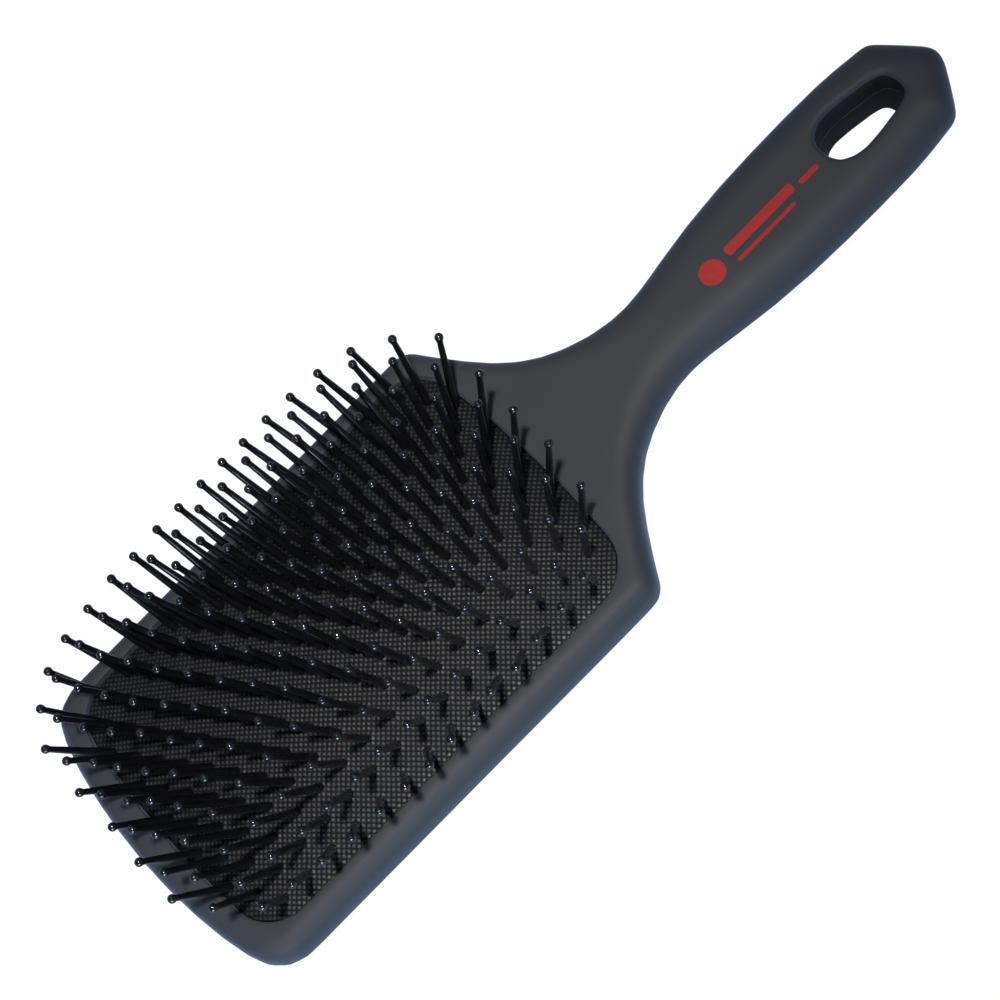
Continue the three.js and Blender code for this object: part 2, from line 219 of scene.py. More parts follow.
def hang_loop(offset, end_shift=0.0):
    """Edge of the hanging hole; end_shift moves its handle end along Y."""
    start, end = HANG_Y
    side = np.array([(x, start + (end + end_shift - start) * t) for x, t in HANG_SIDE])
    loop = smooth_loop(resample(np.vstack([side, (side * [-1, 1])[::-1]]), .2), 3.5)
    return loop + normals(loop) * (offset + .1)


def inside(points, loop):
    x, y = points[:, 0], points[:, 1]
    result = np.zeros(len(points), bool)
    for (x0, y0), (x1, y1) in zip(loop, np.roll(loop, -1, 0)):
        if y0 == y1:
            continue
        crosses = (y0 > y) != (y1 > y)
        result ^= crosses & (x < (x1 - x0) * (y - y0) / (y1 - y0) + x0)
    return result


def between(points, loops):
    """Inside the first loop and outside all the others."""
    result = inside(points, loops[0])
    for hole in loops[1:]:
        result &= ~inside(points, hole)
    return result


def distance(points, loop):
    """Distance from each point to a closed loop, in batches to save memory."""
    batch = 1500
    side = np.roll(loop, -1, 0) - loop
    side_sq = (side ** 2).sum(1)
    result = np.empty(len(points))
    for i in range(0, len(points), batch):
        away = points[i:i + batch][:, None, :] - loop[None]
        t = np.clip((away * side).sum(2) / side_sq, 0, 1)
        away = away - t[..., None] * side
        result[i:i + batch] = np.sqrt((away ** 2).sum(2).min(1))
    return result


def grid_inside(loop, low, high, step, clear):
    """Square grid of points inside a loop and clear of its edge."""
    x, y = np.meshgrid(np.arange(low[0], high[0], step), np.arange(low[1], high[1], step))
    points = np.c_[x.ravel(), y.ravel()]
    points = points[inside(points, loop)]
    return points[distance(points, loop) > clear]


OUTLINE = resample(outline_loop(), .8)


# ---------------------------------------------------------------- mesh helpers
def make_mesh(name, verts, faces, sharp):
    """Smooth-shaded object from millimetres; edges over sharp degrees stay crisp."""
    mesh = bpy.data.meshes.new(name)
    mesh.from_pydata((np.asarray(verts, float) * MM).tolist(), [],
                     [list(map(int, face)) for face in faces])
    mesh.validate(clean_customdata=False)
    mesh.update()
    mesh.shade_smooth()
    mesh.set_sharp_from_angle(angle=math.radians(sharp))
    return link_object(name, mesh)


def link_object(name, data):
    ob = bpy.data.objects.new(name, data)
    bpy.context.scene.collection.objects.link(ob)
    return ob


def set_slots(ob, slots):
    ob.data.polygons.foreach_set("material_index", slots)
    ob.data.update()


def ring_faces(first, second, n, flip=False):
    """Quads between two closed rings of n vertices that start at the given indices."""
    i = np.arange(n)
    j = (i + 1) % n
    quads = np.c_[first + i, first + j, second + j, second + i]
    return (quads[:, ::-1] if flip else quads).tolist()


def loop_edges(start, n):
    return [(start + i, start + (i + 1) % n) for i in range(n)]


def triangulate(points, edges, keep):
    """Upward Delaunay triangles; keep(centres) says which stay."""
    vectors = [Vector(p) for p in points.tolist()]
    _, _, found, origins, _, _ = delaunay_2d_cdt(vectors, edges, [], 0, 1e-6, True)
    source = np.array([origin[0] for origin in origins])
    tris = source[np.array(found)]
    tris = tris[keep(points[tris].mean(1))]
    a, b, c = points[tris[:, 0]], points[tris[:, 1]], points[tris[:, 2]]
    cross = (b[:, 0] - a[:, 0]) * (c[:, 1] - a[:, 1]) - (b[:, 1] - a[:, 1]) * (c[:, 0] - a[:, 0])
    tris[cross < 0] = tris[cross < 0][:, ::-1]
    return tris[np.abs(cross) > 1e-9]


def fill_plan(loops, inner):
    """Fill the first loop, leaving the others as holes, through the inner points."""
    edges, start = [], 0
    for loop in loops:
        edges += loop_edges(start, len(loop))
        start += len(loop)
    points = np.vstack([*loops, inner])
    return points, triangulate(points, edges, lambda centres: between(centres, loops))


def thin(candidates, taken, gap):
    """Greedy choice of candidates at least a gap from each other and from taken points."""
    cells = {}
    chosen = []

    def cell_of(p):
        return int(p[0] // gap), int(p[1] // gap)

    for p in taken:
        cells.setdefault(cell_of(p), []).append(p)
    for p in candidates:
        cx, cy = cell_of(p)
        crowded = any((p[0] - q[0]) ** 2 + (p[1] - q[1]) ** 2 < gap * gap
                      for i in (cx - 1, cx, cx + 1)
                      for j in (cy - 1, cy, cy + 1)
                      for q in cells.get((i, j), ()))
        if not crowded:
            cells.setdefault((cx, cy), []).append(p)
            chosen.append(p)
    return np.array(chosen).reshape(-1, 2)


# ---------------------------------------------------------------- shell
def swell(y):
    return 1 + HANDLE_SWELL * smoothstep(*SWELL_RISE_Y, y) * (1 - .45 * smoothstep(*SWELL_FALL_Y, y))


def edge_curve(depth, reach, power):
    """Superellipse from 0 at the outline to 1 at the reach."""
    rest = (reach - np.minimum(depth, reach)) / reach
    return np.clip(1 - rest ** power, 0, 1) ** (1 / power)


def front_z(points, depth):
    y = points[:, 1]
    reach = 4.7 + 4.0 * smoothstep(*NECK_Y, y)
    return SEAM_Z + FRONT_HEIGHT * swell(y) * edge_curve(depth, reach, power=2.35)


def back_z(points, depth):
    y = points[:, 1]
    reach = 5.8 + 3.4 * smoothstep(*NECK_Y, y)
    handle_lift = .35 * smoothstep(60, 78, y)
    return SEAM_Z - (SEAM_Z - handle_lift) * edge_curve(depth, reach, power=2.3)


def round_drop(distances, radius):
    """Height lost to a rounded edge of the given radius."""
    rest = np.clip(radius - distances, 0, radius)
    return radius - np.sqrt(np.maximum(radius * radius - rest * rest, 0))


def hang_rings(front):
    """Rings round the hanging hole on the outer and inner faces, and its edge radius."""
    wide = resample(hang_loop(0.0 if front else -.12), .42)
    if front:
        rings = offset_rings(wide, HANG_ROUND_STEPS)
        return rings, rings, HANG_ROUND_STEPS[-1]
    # the back half's hole is smaller at the back face, and shorter at the handle end
    narrow = resample(hang_loop(-.95, -1.6), n=len(wide))
    spread = normals(wide) * HANG_BACK_SPREAD
    outer = [narrow * (1 - t) + (wide + spread) * t for t in HANG_BACK_SHARES]
    inner = [wide + spread * t for t in HANG_BACK_SHARES]
    return outer, inner, HANG_BACK_ROUND


def shell_inner_points(loops, grid_step):
    """Loose points between the rims: rings that follow the outline, then a staggered grid."""
    def clear_points(points, clear):
        points = points[between(points, loops)]
        for hole in loops[1:]:
            points = points[distance(points, hole) > clear]
        return points

    rings = []
    for depth, ring in zip(INNER_STEPS, offset_rings(OUTLINE, [-d for d in INNER_STEPS])):
        ok = distance(ring, OUTLINE) > depth - .02
        if depth > 4.5:     # the deeper rings are only wanted towards the handle
            ok &= ring[:, 1] > 58
        rings.append(ring[ok])
    x, y = np.meshgrid(np.arange(-44, 44, grid_step), np.arange(-68, 187, grid_step * .866))
    x = x + (np.arange(x.shape[0]) % 2 * grid_step / 2)[:, None]
    rims = np.vstack(loops)
    ring_points = thin(clear_points(np.vstack(rings), .45), rims, .46)
    grid = clear_points(np.c_[x.ravel(), y.ravel()], .6)
    grid = thin(grid, np.vstack([rims, ring_points]), .8)
    return np.vstack([ring_points, grid])


def shell_heights(points, depth, front, hole, hole_radius, opening):
    """Heights of the outer and inner faces of one half."""
    y = points[:, 1]
    hole_drop = round_drop(distance(points, hole), hole_radius)
    solid = np.maximum(smoothstep(*SOLID_Y, y), 1 - smoothstep(*RIM_SOLID, depth))
    groove = GROOVE * (1 - smoothstep(0, GROOVE_WIDTH, depth))
    if front:
        outer = front_z(points, depth) - hole_drop
        outer = outer - round_drop(distance(points, opening), OPEN_ROUND_STEPS[-1])
        ceiling = RIM_Z - WALL + (swell(y) - 1) * FRONT_HEIGHT
        inner = solid * (SEAM_Z + SEAM_GAP + groove) + (1 - solid) * ceiling
        inner = np.minimum(inner, outer - .05)
        return np.maximum(outer, SEAM_Z + MIN_HALF), inner
    outer = back_z(points, depth) + hole_drop
    inner = solid * (SEAM_Z - SEAM_GAP - groove) + (1 - solid) * FLOOR_Z
    inner = np.maximum(inner, outer + .05)
    return np.minimum(outer, SEAM_Z - MIN_HALF), inner


def build_shell(name, front):
    hole_outer, hole_inner, hole_radius = hang_rings(front)
    rims = [offset_rings(OUTLINE, [-d for d in SKIRT_STEPS]), hole_outer]
    opening = None
    if front:
        opening = resample(opening_loop(0), .7)
        rims.append(offset_rings(opening, OPEN_ROUND_STEPS))

    # structured rings along each rim
    faces, rings, starts, fill_ids, count = [], [], [], [], 0
    for number, rim in enumerate(rims):
        n = len(rim[0])
        starts.append(count)
        for _ in rim[1:]:
            faces += ring_faces(count, count + n, n, flip=number > 0)
            count += n
        fill_ids.append(count + np.arange(n))
        count += n
        rings += rim

    # triangles between the rims
    loops = [rim[-1] for rim in rims]
    inner = shell_inner_points(loops, grid_step=1.25 if front else 1.6)
    _, tris = fill_plan(loops, inner)
    ids = np.r_[np.concatenate(fill_ids), count + np.arange(len(inner))]
    faces += ids[tris].tolist()

    plan = np.vstack([*rings, inner])
    skirt = np.repeat(SKIRT_STEPS, len(OUTLINE))
    depth = np.concatenate([skirt, distance(plan[len(skirt):], OUTLINE)])
    z, inner_z = shell_heights(plan, depth, front, hole_outer[0], hole_radius, opening)
    inner_plan = plan.copy()
    hole_points = np.vstack(hole_inner)
    inner_plan[starts[1]:starts[1] + len(hole_points)] = hole_points

    # outer face, inner face, then a wall at each rim
    total = len(plan)
    if not front:
        faces = [face[::-1] for face in faces]
    faces += [[i + total for i in face[::-1]] for face in faces]
    slots = [0] * len(faces)
    for number, (start, rim) in enumerate(zip(starts, rims)):
        n = len(rim[0])
        faces += ring_faces(start, start + total, n, flip=(number == 0) == front)
        slots += [1 if rim is hole_outer else 0] * n
    ob = make_mesh(name, np.vstack([np.c_[plan, z], np.c_[inner_plan, inner_z]]), faces, sharp=38)
    ob.data.materials.append(MAT["front" if front else "back"])
    # the hole walls take darker copies of the plastic: painted shade in the hole, darkest on the
    # front half's wall, a little less dark on the back half's lower wall
    ob.data.materials.append(MAT["bore_painted_shade" if front else "bore_low_painted_shade"])
    set_slots(ob, slots)
    return ob


# ---------------------------------------------------------------- cushion
def is_pin(k, j):
    return (abs(k) + abs(j)) % 2 == 1 and not (abs(k) == COLS and abs(j) == ROWS)


# (column, row) of every pin, counted from the middle of the cushion
PINS = [(k, j) for k in range(-COLS, COLS + 1) for j in range(-ROWS, ROWS + 1) if is_pin(k, j)]


def dome_z(x, y):
    u = np.minimum(1, np.abs(x) / (OPEN_HX - .4))
    v = np.minimum(1, np.abs(y) / (OPEN_HY - .4))
    return EDGE_Z + RISE * (1 - u ** 2.2) * (1 - v ** 4)


def rough_rim_distance(points):
    """Rough distance inside the opening edge, from its sides and round corners."""
    half_x, half_y = OPEN_HX - 1.2, OPEN_HY - 1.2
    x, y = np.abs(points[:, 0]), np.abs(points[:, 1])
    flat = half_x - OPEN_R
    bowed_y = half_y - OPEN_BOW * (x / flat) ** 2 * (x < flat) - OPEN_BOW * (x >= flat)
    dx, dy = half_x - x, bowed_y - y
    corner = (dx < OPEN_R) & (dy < OPEN_R)
    return np.where(corner, OPEN_R - np.hypot(OPEN_R - dx, OPEN_R - dy), np.minimum(dx, dy))


def dome_lattice():
    """Lattice at 45 degrees to the brush: points, dot flags, quads and a mask of full cells."""
    index = np.arange(-CELLS_HALF, CELLS_HALF + 1)
    along, across = np.meshgrid(index * CELL, index * CELL, indexing="ij")
    x = (along - across) / math.sqrt(2)
    y = (along + across) / math.sqrt(2)
    points = np.c_[x.ravel(), y.ravel()]
    near = (np.abs(points[:, 0]) < OPEN_HX) & (np.abs(points[:, 1]) < OPEN_HY)
    ok = np.zeros(len(points), bool)
    ok[near] = inside(points[near], opening_loop(-1.05))
    ok = ok.reshape(x.shape)
    full = ok[:-1, :-1] & ok[1:, :-1] & ok[:-1, 1:] & ok[1:, 1:]
    used = np.zeros_like(ok)
    for corner in (used[:-1, :-1], used[1:, :-1], used[:-1, 1:], used[1:, 1:]):
        corner |= full
    ids = -np.ones(ok.shape, int)
    ids[used] = np.arange(used.sum())
    i, j = np.where(full)
    quads = np.c_[ids[i, j], ids[i + 1, j], ids[i + 1, j + 1], ids[i, j + 1]]
    raised = np.mod(index, 3) != 0
    on_dot = (raised[:, None] & raised[None, :])[used]
    return np.c_[x[used], y[used]], on_dot, quads, full


def dome_relief(points, on_dot):
    """Raised dots; the rubber is plain round each pin and swells a little against it."""
    pin_distance = np.full(len(points), 9.0)
    for k, j in PINS:
        centre = np.array([k * COL_PITCH, j * ROW_PITCH])
        near = (np.abs(points - centre) < 3).all(1)
        gap = np.hypot(*(points[near] - centre).T)
        pin_distance[near] = np.minimum(pin_distance[near], gap)
    fade = smoothstep(1.25, 1.9, pin_distance)
    rim_fade = smoothstep(.2, .9, rough_rim_distance(points))
    collar = .22 * (1 - smoothstep(1.2, 2.0, pin_distance))
    return on_dot.astype(float) * DOT_HEIGHT * fade * rim_fade + collar


def border_edges(quads):
    """Edges that belong to one quad only."""
    edges = np.vstack([quads[:, [0, 1]], quads[:, [1, 2]], quads[:, [2, 3]], quads[:, [3, 0]]])
    edges = np.sort(edges, 1)
    key = edges[:, 0].astype(np.int64) * 10 ** 7 + edges[:, 1]
    _, inverse, counts = np.unique(key, return_inverse=True, return_counts=True)
    return edges[counts[inverse] == 1]


def build_dome():
    points, on_dot, quads, full = dome_lattice()
    start = len(points)

    # triangles from the stepped border of the lattice to a smooth ring
    ring = resample(opening_loop(-.64), .42)
    outward = normals(ring)
    n = len(ring)
    border = border_edges(quads)
    border_ids = np.unique(border)
    edges = [tuple(e) for e in np.searchsorted(border_ids, border).tolist()]
    edges += loop_edges(len(border_ids), n)

    def off_lattice(centres):
        x, y = centres.T
        i = np.floor((x + y) / math.sqrt(2) / CELL + CELLS_HALF).astype(int)
        j = np.floor((y - x) / math.sqrt(2) / CELL + CELLS_HALF).astype(int)
        i = np.clip(i, 0, full.shape[0] - 1)
        j = np.clip(j, 0, full.shape[1] - 1)
        return ~full[i, j] & inside(centres, ring)

    tris = triangulate(np.vstack([points[border_ids], ring]), edges, off_lattice)
    ids = np.r_[border_ids, start + np.arange(n)]
    faces = quads.tolist() + ids[tris].tolist()
    verts = [np.c_[points, dome_z(*points.T) + dome_relief(points, on_dot)],
             np.c_[ring, dome_z(*ring.T)]]

    # turned-down edge, then the underside
    for offset, drop, follows in DOME_EDGE:
        loop = ring + outward * offset
        verts.append(np.c_[loop, EDGE_Z + drop + (dome_z(*loop.T) - EDGE_Z) * follows])
        faces += ring_faces(start, start + n, n, flip=True)
        start += n
    faces += ring_faces(start, start + n, n, flip=True)
    under = ring - outward * 1.0
    inner = grid_inside(under, (-40, -60), (40, 60), step=2.4, clear=.8)
    plan, tris = fill_plan([under], inner)
    verts.append(np.c_[plan, dome_z(*plan.T) - RUBBER])
    faces += (tris[:, ::-1] + start + n).tolist()
    return make_mesh("cushion_dome", np.vstack(verts), faces, sharp=62)


def build_lip():
    """Closed ring with a chamfered section along the opening edge."""
    base = resample(opening_loop(0), 1.0)
    outward = normals(base)
    n = len(base)
    verts = [np.c_[base + outward * offset, np.full(n, z)] for offset, z in LIP_SECTION]
    faces = []
    for i in range(len(LIP_SECTION)):
        faces += ring_faces(i * n, (i + 1) % len(LIP_SECTION) * n, n, flip=True)
    return make_mesh("cushion_lip", np.vstack(verts), faces, sharp=40)


# ---------------------------------------------------------------- pins
def pin_profile():
    """Rings of a pin from root to ball: (distance along the pin, radius)."""
    neck = PIN_L - 2 * BALL_R + .22
    profile = [(-PIN_ROOT, PIN_FOOT_R), (0, PIN_FOOT_R), (1.2, PIN_FOOT_R * .985)]
    for t in (.3, .55, .8):
        profile.append((neck * t, PIN_FOOT_R + (PIN_NECK_R - PIN_FOOT_R) * t))
    profile.append((neck - .35, PIN_NECK_R))
    centre = PIN_L - BALL_R
    neck_angle = math.pi - math.asin(PIN_NECK_R / BALL_R)
    for i in range(1, BALL_RINGS + 1):
        angle = neck_angle * (1 - i / (BALL_RINGS + 1))
        profile.append((centre + BALL_R * math.cos(angle), BALL_R * math.sin(angle)))
    return profile


PROFILE = pin_profile()
BALL_START = (len(PROFILE) - BALL_RINGS) * SIDES    # first vertex of the ball rings


def pin_mesh(base, direction):
    z = direction / np.linalg.norm(direction)
    x = np.cross([0, 1, 0], z)
    x /= np.linalg.norm(x)
    y = np.cross(z, x)
    angle = np.arange(SIDES) * 2 * np.pi / SIDES
    circle = np.cos(angle)[:, None] * x + np.sin(angle)[:, None] * y
    verts = [base + z * along + radius * circle for along, radius in PROFILE]
    verts += [(base + z * PIN_L)[None], (base + z * PROFILE[0][0])[None]]
    last = (len(PROFILE) - 1) * SIDES
    top, bottom = last + SIDES, last + SIDES + 1
    faces = []
    for start in range(0, last, SIDES):
        faces += ring_faces(start, start + SIDES, SIDES)
    for i, j in loop_edges(0, SIDES):
        faces.append([last + i, last + j, top])
        faces.append([j, i, bottom])
    return np.vstack(verts), faces


def bar_mesh(start, end):
    """Chamfered bar between two points, with tapered ends."""
    along = (end - start) / np.linalg.norm(end - start)
    side = np.array([1.0, 0, 0])
    up = np.cross(side, along)
    w, t, c = BAR_W / 2, BAR_T / 2, BAR_CHAMFER
    section = [(w - c, -t), (w, -t + c), (w, t - c), (w - c, t),
               (-w + c, t), (-w, t - c), (-w, -t + c), (-w + c, -t)]
    stations = [(start - along * 1.05, .75), (start - along * .8, 1),
                (end + along * .8, 1), (end + along * 1.05, .75)]
    verts = [p + side * u * scale + up * v * scale for p, scale in stations for u, v in section]
    n = len(section)
    faces = []
    for i in range(3):
        faces += ring_faces(i * n, (i + 1) * n, n, flip=True)
    faces.append(list(range(n)))
    faces.append(list(range(3 * n, 4 * n))[::-1])
    return np.array(verts), faces


def pin_direction(k, j, jitter):
    terms = [(k / COLS) ** a * (j / ROWS) ** b for a, b, _, _ in FAN]
    slopes = []
    for column, draw in zip((2, 3), jitter):
        degrees = float(np.dot(terms, [term[column] for term in FAN]))
        degrees += float(np.clip(draw, -JITTER_LIMIT, JITTER_LIMIT)) * JITTER
        slopes.append(math.tan(math.radians(degrees)))
    return np.array([*slopes, 1.0])


def build_strip(node, pins, jitter):
    """One strip of pins on its bar."""
    verts, faces, slots, under, count = [], [], [], [], 0
    for k, j in pins:
        x, y = k * COL_PITCH, j * ROW_PITCH
        base = np.array([x, y, float(dome_z(x, y))])
        direction = pin_direction(k, j, jitter[(k, j)])
        pin_verts, pin_faces = pin_mesh(base, direction)
        verts.append(pin_verts)
        faces += [[i + count for i in face] for face in pin_faces]
        slots += [1 if min(face) >= BALL_START else 0 for face in pin_faces]
        count += len(pin_verts)
        under.append(base - direction * BAR_DEPTH)
    start, end = under[0], under[-1]
    start[0] = end[0] = np.mean([p[0] for p in under])
    start[1], end[1] = max(start[1], -BAR_END_Y), min(end[1], BAR_END_Y)
    bar_verts, bar_faces = bar_mesh(start, end)
    verts.append(bar_verts)
    faces += [[i + count for i in face] for face in bar_faces]
    slots += [0] * len(bar_faces)
    ob = make_mesh(node.replace("pin_strip", "pins"), np.vstack(verts), faces, sharp=50)
    ob.data.materials.append(MAT["nylon"])
    ob.data.materials.append(MAT["tip"])
    set_slots(ob, slots)
    return ob


def build_strips():
    bodies = frame["record"]["behaviour"]["bodies"]
    node_body = {node: body for body, nodes in bodies.items() for node in nodes}
    jitter = {pin: rng.normal(0, 1, 2) for pin in PINS}
    for k in range(-COLS, COLS + 1):
        column = [pin for pin in PINS if pin[0] == k]
        zones = {"toe": column[:END_PINS], "heel": column[-END_PINS:],
                 "mid": column[END_PINS:-END_PINS]}
        for zone, pins in zones.items():
            node = "pin_strip_%02d_%s" % (k + COLS + 1, zone)
            ob = build_strip(node, pins, jitter)
            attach(ob, node_body[node])
            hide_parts(node)


# ---------------------------------------------------------------- printed marks
def rounded_rectangle(centre_x, centre_y, width, length, radius):
    points = []
    for sx, sy, start in ((1, 1, 0), (-1, 1, 90), (-1, -1, 180), (1, -1, 270)):
        for i in range(9):
            turn = math.radians(start + 90 * i / 8)
            points.append((centre_x + sx * (width / 2 - radius) + radius * math.cos(turn),
                           centre_y + sy * (length / 2 - radius) + radius * math.sin(turn)))
    return np.array(points)


def build_mark(name, shape):
    """Thin inlay that follows the front of the handle."""
    loop = resample(shape, .5)
    inner = grid_inside(loop, loop.min(0), loop.max(0), step=.55, clear=.22)
    plan, tris = fill_plan([loop], inner)
    z = front_z(plan, distance(plan, OUTLINE))
    n, total = len(loop), len(plan)
    top = z + MARK_LIFT
    top[:n] -= MARK_EDGE_DROP
    faces = tris.tolist() + (tris[:, ::-1] + total).tolist() + ring_faces(total, 0, n)
    return make_mesh(name, np.vstack([np.c_[plan, top], np.c_[plan, z - MARK_DEPTH]]), faces,
                     sharp=50)


# ---------------------------------------------------------------- shader helpers
class Shader:
    """Short calls for adding nodes; a value may be a number, a colour or a socket."""

    def __init__(self, tree):
        self.tree = tree

    def node(self, kind):
        return self.tree.nodes.new(kind)

    def feed(self, socket, value):
        if isinstance(value, bpy.types.NodeSocket):
            self.tree.links.new(value, socket)
        elif isinstance(value, tuple):
            socket.default_value = (*value, 1)
        else:
            socket.default_value = value

    def coords(self, kind):
        return self.node("ShaderNodeTexCoord").outputs[kind]

    def camera_ray(self):
        return self.node("ShaderNodeLightPath").outputs["Is Camera Ray"]

    def noise(self, vector, scale, detail, rough=.55):
        node = self.node("ShaderNodeTexNoise")
        self.feed(node.inputs["Vector"], vector)
        self.feed(node.inputs["Scale"], scale)
        self.feed(node.inputs["Detail"], detail)
        self.feed(node.inputs["Roughness"], rough)
        return node.outputs["Fac"]

    def remap(self, value, source=(0, 1), target=(0, 1)):
        node = self.node("ShaderNodeMapRange")
        self.feed(node.inputs["Value"], value)
        for label, limits in (("From", source), ("To", target)):
            node.inputs[label + " Min"].default_value = limits[0]
            node.inputs[label + " Max"].default_value = limits[1]
        return node.outputs["Result"]

    def mix(self, factor, first, second, blend="MIX"):
        node = self.node("ShaderNodeMix")
        node.data_type = "RGBA"
        node.blend_type = blend
        self.feed(node.inputs["Factor"], factor)
        self.feed(node.inputs[6], first)        # colour A
        self.feed(node.inputs[7], second)       # colour B
        return node.outputs[2]

    def maths(self, operation, *values):
        node = self.node("ShaderNodeMath")
        node.operation = operation
        for socket, value in zip(node.inputs, values):
            self.feed(socket, value)
        return node.outputs[0]

    def split(self, vector):
        node = self.node("ShaderNodeSeparateXYZ")
        self.feed(node.inputs[0], vector)
        return node.outputs


def new_material(name):
    mat = bpy.data.materials.new(name)
    mat.use_nodes = True
    return mat, Shader(mat.node_tree), mat.node_tree.nodes["Principled BSDF"].inputs


def dots_mask(shader, vector):
    """1 on the raised dots of the rubber, 0 in the channels between them."""
    mapping = shader.node("ShaderNodeMapping")
    mapping.inputs["Rotation"].default_value = (0, 0, math.radians(-45))
    mapping.inputs["Scale"].default_value = (1000.0 / DOT,) * 3
    shader.feed(mapping.inputs["Vector"], vector)
    axes = shader.split(mapping.outputs[0])
    masks = []
    for axis in ("X", "Y"):
        phase = shader.maths("FRACT", axes[axis])
        from_middle = shader.maths("ABSOLUTE", shader.maths("SUBTRACT", phase, .5))
        masks.append(shader.remap(from_middle, source=(.42, .16)))
    return shader.maths("MULTIPLY", *masks)


def plastic(name, dark, light, rough, grain, rough_vary=.02, patch=40, specular=.5,
            sheen=0.0, wear=0.0, coat=0.0, coat_rough=.2, dots=None):
    """Mottled plastic or rubber.

    grain and patch are the noise scales of the surface and of the mottling, wear lightens
    the edges, and dots holds the colour factors, which paint shade into the channels and
    highlights on the dot tops, and extra roughness for the cushion's dot pattern.
    """
    mat, shader, inputs = new_material(name)
    vector = shader.coords("Object")
    mottle = shader.noise(vector, scale=patch, detail=4.0)
    colour = shader.mix(shader.remap(mottle, source=(.32, .68)), dark, light)
    if wear:
        pointiness = shader.node("ShaderNodeNewGeometry").outputs["Pointiness"]
        edge = shader.remap(pointiness, source=(.52, .6), target=(0, wear))
        colour = shader.mix(edge, colour, tuple(min(1, 2.2 * v + .01) for v in light))
    fine = shader.noise(vector, scale=grain, detail=2.0, rough=.6)
    broad = shader.noise(vector, scale=patch * 3, detail=2.0)
    limits = (rough - rough_vary, rough + rough_vary)
    roughness = shader.maths("ADD",
                             shader.remap(broad, source=(.3, .7), target=limits),
                             shader.remap(fine, source=(.3, .7), target=(-.03, .03)))
    if dots:
        mask = dots_mask(shader, vector)
        # the dot factors paint shade into the channels and a highlight on each dot top
        painted_dot_light_and_shade = shader.mix(mask, (dots["channel"],) * 3, (dots["top"],) * 3)
        colour = shader.mix(1, colour, painted_dot_light_and_shade, blend="MULTIPLY")
        extra = shader.remap(mask, target=(dots["channel_rough"], 0))
        roughness = shader.maths("ADD", roughness, extra)
        specular = shader.remap(mask, target=(.1, specular))
    shader.feed(inputs["Specular IOR Level"], specular)
    shader.feed(inputs["Base Color"], colour)
    shader.feed(inputs["Roughness"], roughness)
    bump = shader.node("ShaderNodeBump")
    bump.inputs["Strength"].default_value = .35
    bump.inputs["Distance"].default_value = .00003
    shader.feed(bump.inputs["Height"], fine)
    shader.feed(inputs["Normal"], bump.outputs["Normal"])
    if sheen:
        shader.feed(inputs["Sheen Weight"], sheen)
        shader.feed(inputs["Sheen Roughness"], .45)
        shader.feed(inputs["Sheen Tint"], (.45, .68, 1))
    if coat:
        shader.feed(inputs["Coat Weight"], coat)
        shader.feed(inputs["Coat Roughness"], coat_rough)
    return mat


# ---------------------------------------------------------------- materials
SOFT_TOUCH = dict(grain=5200, sheen=.2, wear=.1)
POLISHED = dict(dark=(.0030, .0031, .0036), light=(.0046, .0047, .0054), grain=2400, patch=240)
MAT = {
    "front": plastic("soft_touch_front", dark=(.0172, .0180, .0198), light=(.0192, .0201, .0220),
                     rough=.66, specular=.3, **SOFT_TOUCH),
    "back": plastic("soft_touch_back", dark=(.0150, .0158, .0172), light=(.0170, .0178, .0192),
                    rough=.6, specular=.34, **SOFT_TOUCH),
    # the rubber's dot factors paint shade into the channels and highlights on the dot tops
    "rubber": plastic("cushion_rubber", dark=(.0066, .0069, .0078), light=(.0086, .0090, .0101),
                      rough=.46, rough_vary=.03, grain=3200, patch=70, specular=.26,
                      dots=dict(channel=.25, top=1.75, channel_rough=.2)),
    # painted shade: darker copies of the soft-touch plastic for the hanging hole's walls, the front
    # half's wall darkest and the back half's lower wall a little lighter
    "bore_painted_shade": plastic("soft_touch_bore_painted_shade", dark=(.0078, .0076, .0078), light=(.0090, .0088, .0090),
                    rough=.62, grain=5200, specular=.18),
    "bore_low_painted_shade": plastic("soft_touch_bore_low_painted_shade", dark=(.0088, .0088, .0094),
                        light=(.0102, .0102, .0110), rough=.6, grain=5200, specular=.22),
    "tip": plastic("polished_ball_end", rough=.13, rough_vary=.01, coat=.4, coat_rough=.05,
                   **POLISHED),
    "ring": plastic("retainer_plastic", dark=(.03, .03, .032), light=(.045, .045, .047),
                    rough=.55, grain=2600),
    "nylon": plastic("nylon_pin", rough=.17, coat=.3, coat_rough=.08, **POLISHED),
    "ink": plastic("red_ink", dark=(.215, .0105, .0095), light=(.255, .0130, .0110),
                   rough=.6, rough_vary=.03, grain=4200, patch=500, specular=.25),
}


# ---------------------------------------------------------------- build
def dress(ob, material=None, node=None):
    if material:
        ob.data.materials.append(MAT[material])
    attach(ob, "brush_body")
    if node:
        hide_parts(node)


dress(build_shell("front_shell_skin", front=True), node="front_shell")
dress(build_shell("back_shell_skin", front=False), node="back_shell")
dress(build_lip(), material="rubber", node="cushion")
dome = build_dome()
dress(dome, material="rubber", node="cushion")
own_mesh(dome)
build_strips()

retainer = frame["nodes"]["cushion_retainer"]
retainer.data.materials.clear()
retainer.data.materials.append(MAT["ring"])

for mark_name, *mark_shape in MARKS:
    dress(build_mark(mark_name, rounded_rectangle(*mark_shape)), material="ink")


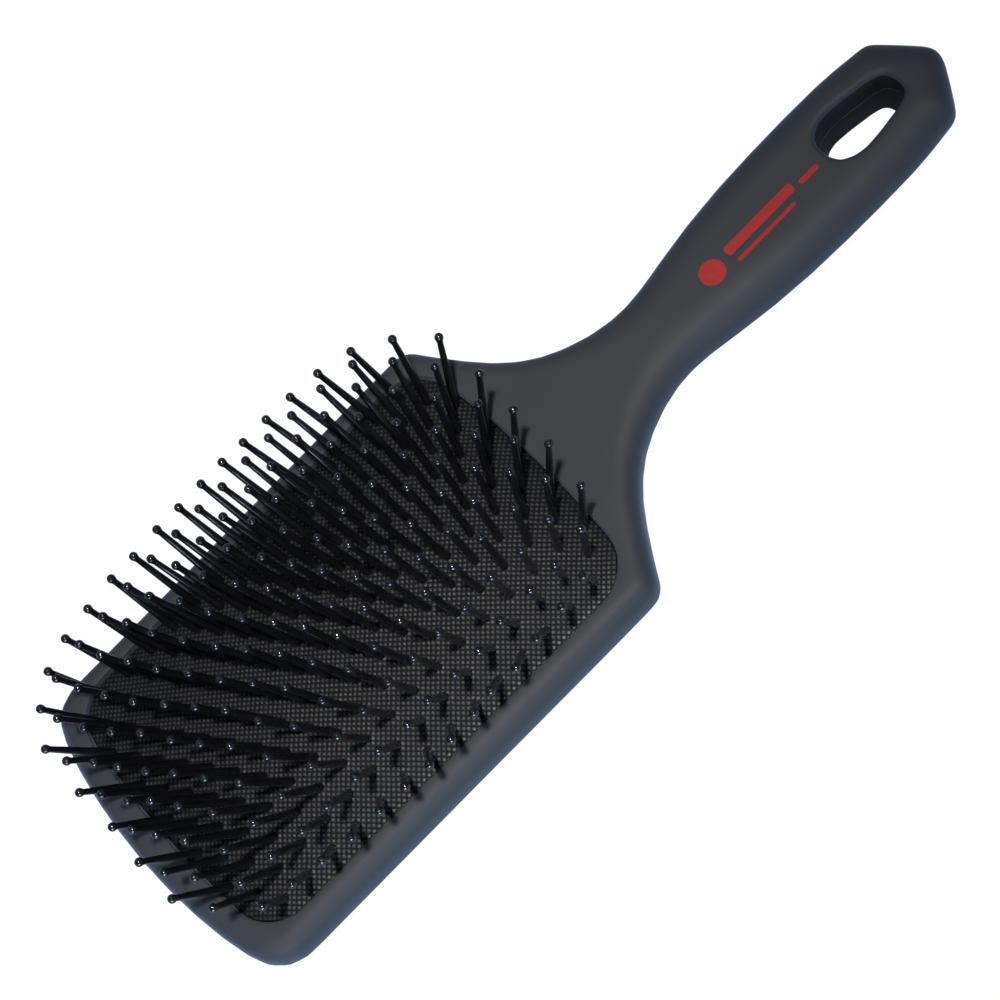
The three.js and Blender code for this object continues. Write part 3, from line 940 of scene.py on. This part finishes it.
# ---------------------------------------------------------------- floor and world (metres)
def floor_material():
    """Grey floor that looks white to the camera and glows bluish on the brush."""
    mat, shader, inputs = new_material("pale_floor")
    mottle = shader.noise(shader.coords("Object"), scale=6, detail=3)
    shader.feed(inputs["Base Color"], shader.mix(mottle, (.060, .060, .060), (.070, .070, .070)))
    shader.feed(inputs["Roughness"], .8)
    shader.feed(inputs["Specular IOR Level"], .2)
    glow = shader.mix(shader.camera_ray(), (.23, .31, .46), (1, 1, 1))
    shader.feed(inputs["Emission Color"], glow)
    shader.feed(inputs["Emission Strength"], .965)
    return mat


def build_floor(half=6, z=-.0002):
    mesh = bpy.data.meshes.new("floor")
    corners = [(-half, -half, z), (half, -half, z), (half, half, z), (-half, half, z)]
    mesh.from_pydata(corners, [], [(0, 1, 2, 3)])
    floor = link_object("floor", mesh)
    floor.data.materials.append(floor_material())


def build_world():
    """White to the camera; a bluish gradient, darker overhead, for all other rays."""
    world = bpy.data.worlds.new("studio")
    bpy.context.scene.world = world
    world.use_nodes = True
    shader = Shader(world.node_tree)
    nodes = world.node_tree.nodes
    sky = nodes["Background"]
    height = shader.split(shader.coords("Generated"))["Z"]
    shader.feed(sky.inputs["Color"], shader.mix(shader.remap(height, source=(.02, .6)),
                                                (.19, .27, .43), (.060, .071, .092)))
    shader.feed(sky.inputs["Strength"], 1.0)
    backdrop = shader.node("ShaderNodeBackground")
    shader.feed(backdrop.inputs["Color"], (1, 1, 1))
    shader.feed(backdrop.inputs["Strength"], 1.0)
    choice = shader.node("ShaderNodeMixShader")
    shader.feed(choice.inputs[0], shader.camera_ray())
    shader.feed(choice.inputs[1], sky.outputs[0])
    shader.feed(choice.inputs[2], backdrop.outputs[0])
    shader.feed(nodes["World Output"].inputs["Surface"], choice.outputs[0])


build_floor()
build_world()


# ---------------------------------------------------------------- lights (metres, watts, degrees)
def area_light(name, place, target, size, energy, color, size_y=None, spread=180):
    light = bpy.data.lights.new(name, "AREA")
    light.energy = energy
    light.size = size
    if size_y:
        light.shape = "RECTANGLE"
        light.size_y = size_y
    light.color = color
    light.spread = math.radians(spread)
    ob = link_object(name, light)
    ob.location = place
    ob.rotation_euler = (Vector(target) - Vector(place)).to_track_quat("-Z", "Y").to_euler()


area_light("overhead_key", place=(.46, .09, 2.0), target=(0, .02, 0), size=.15, energy=.47,
           color=(1, .99, .975), spread=15)
area_light("left_panel", place=(-.40, -.05, .66), target=(0, 0, 0), size=.56, energy=.5,
           color=(.97, .98, 1))
area_light("low_right", place=(.36, -.22, .10), target=(.043, -.02, .008), size=.40, size_y=.12,
           energy=.35, color=(.60, .73, 1), spread=50)

# ---------------------------------------------------------------- camera
CAMERA_PLACE = (248.75, 29.51, 494.36)
CAMERA_RIGHT = (0.6449621886414982, 0.7008827090406096, -0.3046099200463848)
CAMERA_DOWN = (0.6146580522538194, -0.7126068000424789, -0.33821151271469124)
CAMERA_FORWARD = (-0.4541137016456449, 0.030902697311316615, -0.8904076421934931)


def build_camera():
    data = bpy.data.cameras.new("camera")
    data.sensor_width = 36
    data.sensor_fit = "HORIZONTAL"
    data.lens = 88.2
    data.clip_start, data.clip_end = .01, 20
    camera = link_object("camera", data)
    axes = (Vector(CAMERA_RIGHT), -Vector(CAMERA_DOWN), -Vector(CAMERA_FORWARD))
    turn = Matrix(axes).transposed().to_4x4()
    camera.matrix_world = Matrix.Translation(Vector(CAMERA_PLACE) * MM) @ turn
    bpy.context.scene.camera = camera


bpy.context.scene.view_settings.view_transform = "Standard"
bpy.context.scene.view_settings.look = "None"
build_camera()
